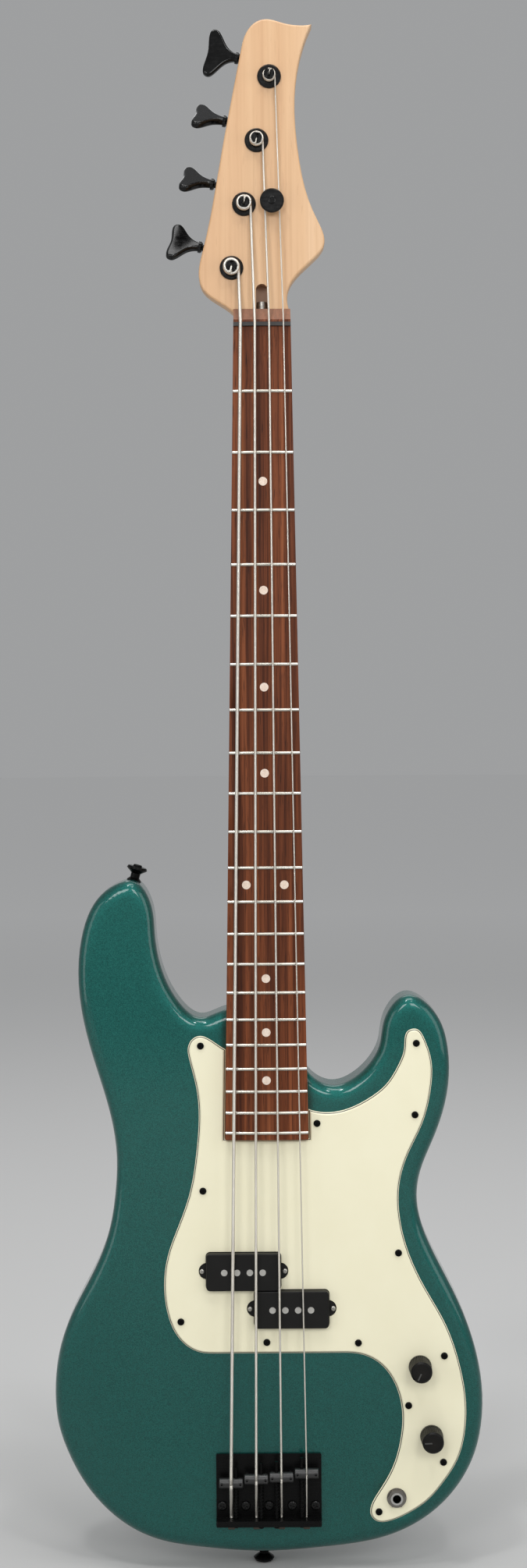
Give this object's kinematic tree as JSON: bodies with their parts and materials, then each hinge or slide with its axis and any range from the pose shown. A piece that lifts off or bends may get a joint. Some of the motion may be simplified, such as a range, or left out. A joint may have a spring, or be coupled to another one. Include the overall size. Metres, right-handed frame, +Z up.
{
  "type": "electric bass guitar",
  "caption": "Solid-body electric bass guitar with bolt-on neck, split pickup, barrel-saddle bridge and open-gear tuners, upright as it hangs by its headstock.",
  "frame": {"origin": "hanging point: middle of the neck's thickness just under the headstock, on the centre line", "axes": "+Z up along the neck to the headstock, -Y out of the front (string) side, +X to the treble side"},
  "size_m": [0.3279, 0.0658, 1.1753],
  "materials": {
    "lacquer": "gloss metallic lacquer over wood",
    "maple": "satin clear finish",
    "rosewood": "oiled, open grain",
    "fret_wire": "polished",
    "string_wire": "round wound",
    "ball_brass": "plain",
    "black_metal": "black plated, satin",
    "saddle_metal": "black plated, worn bright on top",
    "steel": "plain",
    "chrome": "polished",
    "guard_ply": "polished, three layers",
    "black_plastic": "satin moulded",
    "nut_plastic": "self-lubricating, satin",
    "pearl": "pearled",
    "coil_wire": "enamelled winding",
    "foam": "open-cell foam",
    "wire_cover": "cloth and rubber insulation",
    "capacitor_cover": "dipped"
  },
  "bodies": {
    "instrument": {"ball_ends": "ball_brass", "body": "lacquer", "bridge_plate": "black_metal", "bridge_screws": "black_metal", "control_nuts": "chrome", "fingerboard": "rosewood", "frets": "fret_wire", "length_springs": "steel", "neck": "maple", "neck_ferrules": "black_metal", "neck_screws": "black_metal", "nut": "nut_plastic", "output_jack": "chrome", "pickguard": "guard_ply", "pickguard_screws": "black_metal", "pickup_foam": "foam", "position_dots": "pearl", "pots": "steel", "strap_button_screws": "black_metal", "strap_buttons": "black_metal", "string_a": "string_wire", "string_d": "string_wire", "string_e": "string_wire", "string_g": "string_wire", "string_retainer": "black_metal", "string_retainer_screw": "black_metal", "tone_capacitor": "capacitor_cover", "truss_rod": "steel", "tuner_bases": "black_metal", "tuner_bushings": "black_metal", "tuner_screws": "black_metal", "wiring": "wire_cover"},
    "tuner_key_e": {"tuner_key_e": "black_metal"},
    "tuner_post_e": {"tuner_post_e": "black_metal"},
    "tuner_key_a": {"tuner_key_a": "black_metal"},
    "tuner_post_a": {"tuner_post_a": "black_metal"},
    "tuner_key_d": {"tuner_key_d": "black_metal"},
    "tuner_post_d": {"tuner_post_d": "black_metal"},
    "tuner_key_g": {"tuner_key_g": "black_metal"},
    "tuner_post_g": {"tuner_post_g": "black_metal"},
    "saddle_e": {"saddle_e": "saddle_metal"},
    "length_screw_e": {"length_screw_e": "black_metal"},
    "saddle_a": {"saddle_a": "saddle_metal"},
    "length_screw_a": {"length_screw_a": "black_metal"},
    "saddle_d": {"saddle_d": "saddle_metal"},
    "length_screw_d": {"length_screw_d": "black_metal"},
    "saddle_g": {"saddle_g": "saddle_metal"},
    "length_screw_g": {"length_screw_g": "black_metal"},
    "knob_volume": {"knob_volume": "black_metal"},
    "knob_tone": {"knob_tone": "black_metal"},
    "truss_rod_nut": {"truss_rod_nut": "steel"},
    "pickup_upper": {"pickup_cover_upper": "black_plastic", "pickup_coil_upper": "coil_wire", "pickup_poles_upper": "steel", "pickup_screws_upper": "steel"},
    "pickup_lower": {"pickup_cover_lower": "black_plastic", "pickup_coil_lower": "coil_wire", "pickup_poles_lower": "steel", "pickup_screws_lower": "steel"}
  },
  "joints": [
    {"name": "key_turn_e", "type": "hinge", "parent": "instrument", "child": "tuner_key_e", "pos_m": [-0.01951, 0.0155, 0.04409], "axis": [-0.9799, 0, 0.1994], "range_deg": [-1000, 1000]},
    {"name": "post_turn_e", "type": "hinge", "parent": "instrument", "child": "tuner_post_e", "pos_m": [-0.0226, -0.0045, 0.0289], "axis": [0, 1, 0], "range_deg": [-50, 50]},
    {"name": "key_turn_a", "type": "hinge", "parent": "instrument", "child": "tuner_key_a", "pos_m": [-0.00984, 0.0155, 0.09162], "axis": [-0.9799, 0, 0.1994], "range_deg": [-1000, 1000]},
    {"name": "post_turn_a", "type": "hinge", "parent": "instrument", "child": "tuner_post_a", "pos_m": [-0.01293, -0.0045, 0.07643], "axis": [0, 1, 0], "range_deg": [-50, 50]},
    {"name": "key_turn_d", "type": "hinge", "parent": "instrument", "child": "tuner_key_d", "pos_m": [-0.00017, 0.0155, 0.13914], "axis": [-0.9799, 0, 0.1994], "range_deg": [-1000, 1000]},
    {"name": "post_turn_d", "type": "hinge", "parent": "instrument", "child": "tuner_post_d", "pos_m": [-0.00326, -0.0045, 0.12395], "axis": [0, 1, 0], "range_deg": [-50, 50]},
    {"name": "key_turn_g", "type": "hinge", "parent": "instrument", "child": "tuner_key_g", "pos_m": [0.0095, 0.0155, 0.18667], "axis": [-0.9799, 0, 0.1994], "range_deg": [-1000, 1000]},
    {"name": "post_turn_g", "type": "hinge", "parent": "instrument", "child": "tuner_post_g", "pos_m": [0.00641, -0.0045, 0.17148], "axis": [0, 1, 0], "range_deg": [-50, 50]},
    {"name": "length_screw_turn_e", "type": "hinge", "parent": "instrument", "child": "length_screw_e", "pos_m": [-0.02488, -0.01424, -0.921], "axis": [0, 0, 1], "range_deg": [-3000, 3000]},
    {"name": "saddle_slide_e", "type": "slide", "parent": "instrument", "child": "saddle_e", "axis": [0, 0, 1], "range_m": [-0.004, 0.004], "deforming": ["string_e", "length_springs"]},
    {"name": "length_screw_turn_a", "type": "hinge", "parent": "instrument", "child": "length_screw_a", "pos_m": [-0.00583, -0.01567, -0.921], "axis": [0, 0, 1], "range_deg": [-3000, 3000]},
    {"name": "saddle_slide_a", "type": "slide", "parent": "instrument", "child": "saddle_a", "axis": [0, 0, 1], "range_m": [-0.004, 0.004], "deforming": ["string_a"]},
    {"name": "length_screw_turn_d", "type": "hinge", "parent": "instrument", "child": "length_screw_d", "pos_m": [0.00583, -0.01567, -0.921], "axis": [0, 0, 1], "range_deg": [-3000, 3000]},
    {"name": "saddle_slide_d", "type": "slide", "parent": "instrument", "child": "saddle_d", "axis": [0, 0, 1], "range_m": [-0.004, 0.004], "deforming": ["string_d"]},
    {"name": "length_screw_turn_g", "type": "hinge", "parent": "instrument", "child": "length_screw_g", "pos_m": [0.02488, -0.01424, -0.921], "axis": [0, 0, 1], "range_deg": [-3000, 3000]},
    {"name": "saddle_slide_g", "type": "slide", "parent": "instrument", "child": "saddle_g", "axis": [0, 0, 1], "range_m": [-0.004, 0.004], "deforming": ["string_g"]},
    {"name": "knob_turn_volume", "type": "hinge", "parent": "instrument", "child": "knob_volume", "pos_m": [0.1154, -0.0069, -0.8027], "axis": [0, 1, 0], "range_deg": [0, 300]},
    {"name": "knob_turn_tone", "type": "hinge", "parent": "instrument", "child": "knob_tone", "pos_m": [0.1239, -0.0069, -0.8561], "axis": [0, 1, 0], "range_deg": [-60, 240]},
    {"name": "truss_nut_turn", "type": "hinge", "parent": "instrument", "child": "truss_rod_nut", "pos_m": [0, -0.0012, 0.004], "axis": [0, 0, 1], "range_deg": [-180, 180]},
    {"name": "pickup_height_upper", "type": "slide", "parent": "instrument", "child": "pickup_upper", "axis": [0, -1, 0], "range_m": [-0.0015, 0.0015], "deforming": ["pickup_foam"]},
    {"name": "pickup_height_lower", "type": "slide", "parent": "instrument", "child": "pickup_lower", "axis": [0, -1, 0], "range_m": [-0.0015, 0.0015]}
  ],
  "couplings": [
    {"joint": "post_turn_e", "follows": "key_turn_e", "ratio": 0.05},
    {"joint": "post_turn_a", "follows": "key_turn_a", "ratio": 0.05},
    {"joint": "post_turn_d", "follows": "key_turn_d", "ratio": 0.05},
    {"joint": "post_turn_g", "follows": "key_turn_g", "ratio": 0.05},
    {"joint": "length_screw_turn_e", "follows": "saddle_slide_e", "rad_per_m": -12566},
    {"joint": "length_screw_turn_a", "follows": "saddle_slide_a", "rad_per_m": -12566},
    {"joint": "length_screw_turn_d", "follows": "saddle_slide_d", "rad_per_m": -12566},
    {"joint": "length_screw_turn_g", "follows": "saddle_slide_g", "rad_per_m": -12566}
  ]
}
